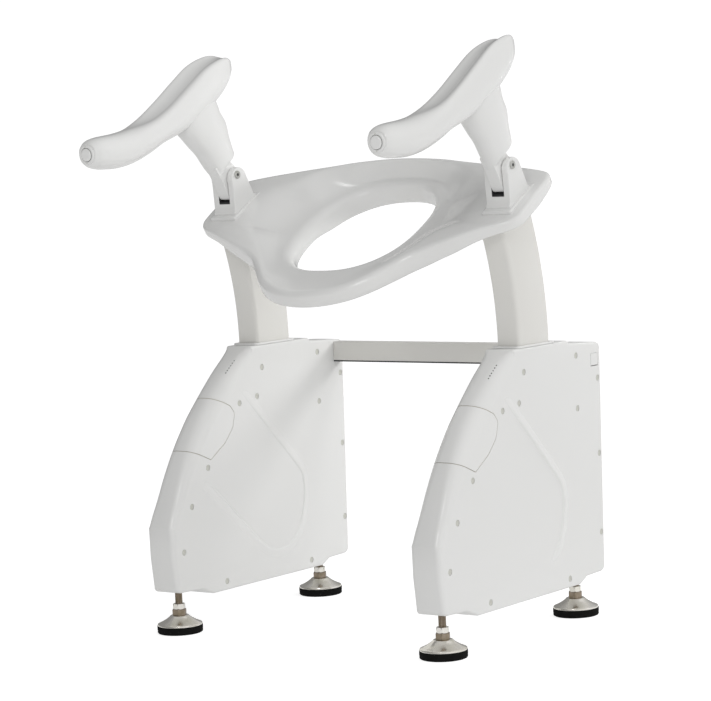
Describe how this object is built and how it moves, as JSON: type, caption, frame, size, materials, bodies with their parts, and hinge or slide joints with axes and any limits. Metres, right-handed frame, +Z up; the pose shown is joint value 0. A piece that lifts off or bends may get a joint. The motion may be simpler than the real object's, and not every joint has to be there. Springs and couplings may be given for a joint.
{
  "type": "powered toilet seat lift",
  "caption": "Powered toilet seat lift: battery towers raise a holed seat on curved arms, with fold-up armrests, tip controls and levelling feet.",
  "frame": {"origin": "on the floor at the middle of the footprint's bounding box", "axes": "+Z up, +X to the right seen from the front, the front faces -Y where the user stands; stored with the seat raised"},
  "size_m": [0.608, 0.5547, 0.8898],
  "materials": {
    "white_plastic": "glossy moulded white, faint sheen",
    "white_enamel": "glossy white enamel on steel",
    "polished_nickel": "polished, warm grey reflections",
    "stud_steel": "brownish oiled thread",
    "black_rubber": "matte black",
    "dark_plastic": "matte dark grey",
    "zinc_steel": "zinc plated"
  },
  "bodies": {
    "base": {"outer_cover_left": "white_plastic", "inner_cover_left": "white_plastic", "frame_left": "zinc_steel", "arm_guide_left": "white_plastic", "arm_shoe_left": "dark_plastic", "actuator_clevis_left": "zinc_steel", "actuator_pin_left": "zinc_steel", "controller_left": "dark_plastic", "outer_cover_right": "white_plastic", "inner_cover_right": "white_plastic", "frame_right": "zinc_steel", "arm_guide_right": "white_plastic", "arm_shoe_right": "dark_plastic", "actuator_clevis_right": "zinc_steel", "actuator_pin_right": "zinc_steel", "controller_right": "dark_plastic", "crossbar": "white_enamel"},
    "lift": {"seat_shell": "white_plastic", "lift_arm_left": "white_enamel", "arm_pin_left": "zinc_steel", "bracket_left": "white_plastic", "pivot_bolt_left": "polished_nickel", "lift_arm_right": "white_enamel", "arm_pin_right": "zinc_steel", "bracket_right": "white_plastic", "pivot_bolt_right": "polished_nickel"},
    "armrest_left": {"armrest_stem_left": "white_plastic", "armrest_left": "white_plastic", "control_ring_left": "white_plastic"},
    "control_left": {"control_cap_left": "white_plastic"},
    "actuator_left": {"actuator_body_left": "zinc_steel"},
    "rod_left": {"actuator_rod_left": "polished_nickel"},
    "battery_left": {"battery_hatch_left": "white_plastic", "battery_pack_left": "dark_plastic"},
    "stud_front_left": {"foot_stud_front_left": "stud_steel", "foot_nut_front_left": "polished_nickel"},
    "foot_front_left": {"foot_base_front_left": "polished_nickel", "foot_pad_front_left": "black_rubber"},
    "stud_rear_left": {"foot_stud_rear_left": "stud_steel", "foot_nut_rear_left": "polished_nickel"},
    "foot_rear_left": {"foot_base_rear_left": "polished_nickel", "foot_pad_rear_left": "black_rubber"},
    "armrest_right": {"armrest_stem_right": "white_plastic", "armrest_right": "white_plastic", "control_ring_right": "white_plastic"},
    "control_right": {"control_cap_right": "white_plastic"},
    "actuator_right": {"actuator_body_right": "zinc_steel"},
    "rod_right": {"actuator_rod_right": "polished_nickel"},
    "battery_right": {"battery_hatch_right": "white_plastic", "battery_pack_right": "dark_plastic"},
    "stud_front_right": {"foot_stud_front_right": "stud_steel", "foot_nut_front_right": "polished_nickel"},
    "foot_front_right": {"foot_base_front_right": "polished_nickel", "foot_pad_front_right": "black_rubber"},
    "stud_rear_right": {"foot_stud_rear_right": "stud_steel", "foot_nut_rear_right": "polished_nickel"},
    "foot_rear_right": {"foot_base_rear_right": "polished_nickel", "foot_pad_rear_right": "black_rubber"},
    "port_flap": {"charge_port_flap": "white_plastic"}
  },
  "joints": [
    {"name": "seat_lift", "type": "hinge", "parent": "base", "child": "lift", "pos_m": [0, -0.411, 0.434], "axis": [1, 0, 0], "range_deg": [-21.5, 0]},
    {"name": "armrest_fold_left", "type": "hinge", "parent": "lift", "child": "armrest_left", "pos_m": [-0.2614, 0.04675, 0.70293], "axis": [1, 0, 0], "range_deg": [-85, 0]},
    {"name": "control_rock_left", "type": "hinge", "parent": "armrest_left", "child": "control_left", "pos_m": [-0.27, -0.2679, 0.7469], "axis": [1, 0, 0], "range_deg": [-5, 5], "stiffness_Nm_per_rad": 0.4},
    {"name": "actuator_tilt_left", "type": "hinge", "parent": "base", "child": "actuator_left", "pos_m": [-0.25, 0.044, 0.097], "axis": [1, 0, 0], "range_deg": [-8.3, 0]},
    {"name": "rod_slide_left", "type": "slide", "parent": "actuator_left", "child": "rod_left", "axis": [0, 0.1029, 0.9947], "range_m": [-0.1895, 0]},
    {"name": "battery_slide_left", "type": "slide", "parent": "base", "child": "battery_left", "axis": [0, -0.9164, 0.4003], "range_m": [0, 0.09]},
    {"name": "foot_level_front_left", "type": "slide", "parent": "base", "child": "stud_front_left", "axis": [0, 0, 1], "range_m": [-0.02, 0.007]},
    {"name": "foot_swivel_front_left", "type": "hinge", "parent": "stud_front_left", "child": "foot_front_left", "pos_m": [-0.25, -0.137, 0.018], "axis": [0, 0, 1], "continuous": true},
    {"name": "foot_level_rear_left", "type": "slide", "parent": "base", "child": "stud_rear_left", "axis": [0, 0, 1], "range_m": [-0.02, 0.007]},
    {"name": "foot_swivel_rear_left", "type": "hinge", "parent": "stud_rear_left", "child": "foot_rear_left", "pos_m": [-0.25, 0.222, 0.018], "axis": [0, 0, 1], "continuous": true},
    {"name": "armrest_fold_right", "type": "hinge", "parent": "lift", "child": "armrest_right", "pos_m": [0.2614, 0.04675, 0.70293], "axis": [1, 0, 0], "range_deg": [-85, 0]},
    {"name": "control_rock_right", "type": "hinge", "parent": "armrest_right", "child": "control_right", "pos_m": [0.27, -0.2679, 0.7469], "axis": [1, 0, 0], "range_deg": [-5, 5], "stiffness_Nm_per_rad": 0.4},
    {"name": "actuator_tilt_right", "type": "hinge", "parent": "base", "child": "actuator_right", "pos_m": [0.25, 0.044, 0.097], "axis": [1, 0, 0], "range_deg": [-8.3, 0]},
    {"name": "rod_slide_right", "type": "slide", "parent": "actuator_right", "child": "rod_right", "axis": [0, 0.1029, 0.9947], "range_m": [-0.1895, 0]},
    {"name": "battery_slide_right", "type": "slide", "parent": "base", "child": "battery_right", "axis": [0, -0.9164, 0.4003], "range_m": [0, 0.09]},
    {"name": "foot_level_front_right", "type": "slide", "parent": "base", "child": "stud_front_right", "axis": [0, 0, 1], "range_m": [-0.02, 0.007]},
    {"name": "foot_swivel_front_right", "type": "hinge", "parent": "stud_front_right", "child": "foot_front_right", "pos_m": [0.25, -0.137, 0.018], "axis": [0, 0, 1], "continuous": true},
    {"name": "foot_level_rear_right", "type": "slide", "parent": "base", "child": "stud_rear_right", "axis": [0, 0, 1], "range_m": [-0.02, 0.007]},
    {"name": "foot_swivel_rear_right", "type": "hinge", "parent": "stud_rear_right", "child": "foot_rear_right", "pos_m": [0.25, 0.222, 0.018], "axis": [0, 0, 1], "continuous": true},
    {"name": "port_flap_hinge", "type": "hinge", "parent": "base", "child": "port_flap", "pos_m": [0.276, 0.273, 0.394], "axis": [0, 0, 1], "range_deg": [0, 100]}
  ],
  "couplings": [
    {"joint": "actuator_tilt_left", "follows": "seat_lift", "ratio": 0.3798},
    {"joint": "rod_slide_left", "follows": "seat_lift", "m_per_rad": 0.50397},
    {"joint": "actuator_tilt_right", "follows": "seat_lift", "ratio": 0.3798},
    {"joint": "rod_slide_right", "follows": "seat_lift", "m_per_rad": 0.50397}
  ]
}
